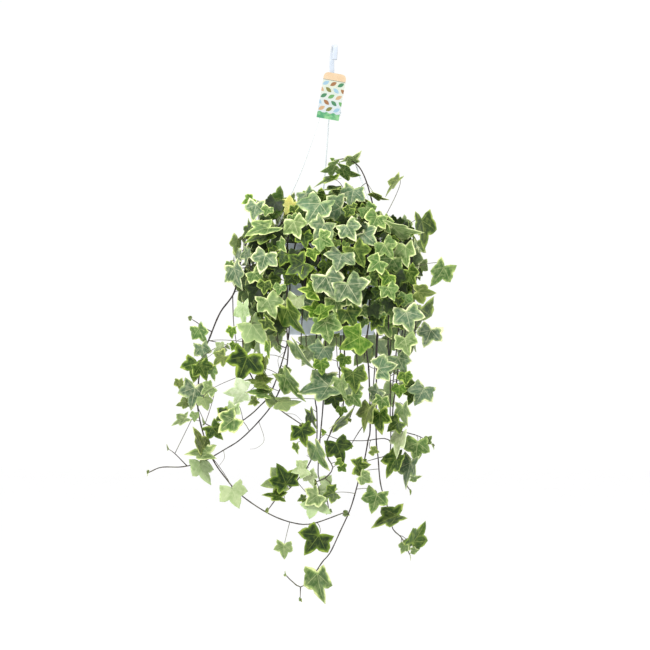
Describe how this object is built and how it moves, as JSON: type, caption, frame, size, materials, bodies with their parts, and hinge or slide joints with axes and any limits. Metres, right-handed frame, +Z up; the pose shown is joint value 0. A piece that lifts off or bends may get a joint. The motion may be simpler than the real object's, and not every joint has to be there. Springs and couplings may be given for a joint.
{
  "type": "hanging potted english ivy",
  "caption": "Hanging pot of variegated English ivy: trailing leafy stems over a wide-rimmed pot on a clip-on saucer, held by three strands and a hook.",
  "frame": {"origin": "the hook's seat, where the rail bears on the inside of the crook", "axes": "+Z up, the hook over the pot; -Y towards the front of the plant; +X to its right as seen from the front"},
  "size_m": [0.4604, 0.3331, 0.8426],
  "materials": {
    "hanger_plastic": "satin translucent white plastic",
    "tag_card": "satin printed plastic card",
    "pot_plastic": "satin moulded plastic",
    "saucer_plastic": "satin moulded plastic",
    "soil": "rough, crumbly",
    "ivy": "soft satin leaves with cream margins, woody stems"
  },
  "bodies": {
    "root": {"hanger_hook": "hanger_plastic", "hanger_strand_left": "hanger_plastic", "hanger_strand_right": "hanger_plastic", "hanger_strand_back": "hanger_plastic", "care_tag": "tag_card", "pot": "pot_plastic", "saucer": "saucer_plastic", "potting_soil": "soil", "ivy_left_loop": "ivy", "ivy_left_shoulder": "ivy", "ivy_left_crossing": "ivy", "ivy_far_left": "ivy", "ivy_left_inner": "ivy", "ivy_front_left": "ivy", "ivy_front_long": "ivy", "ivy_front_inner": "ivy", "ivy_front_right": "ivy", "ivy_front_short": "ivy", "ivy_right_long": "ivy", "ivy_right_inner": "ivy", "ivy_right_crossing": "ivy", "ivy_right_outer": "ivy", "ivy_right_shoulder": "ivy", "ivy_top_runner": "ivy", "ivy_top_right": "ivy", "ivy_top_left": "ivy", "ivy_back_01": "ivy", "ivy_back_02": "ivy", "ivy_back_03": "ivy", "ivy_back_04": "ivy", "ivy_back_05": "ivy", "ivy_back_06": "ivy", "ivy_back_07": "ivy", "ivy_back_08": "ivy", "ivy_back_09": "ivy", "ivy_back_10": "ivy", "ivy_back_11": "ivy", "ivy_back_12": "ivy"}
  },
  "joints": []
}
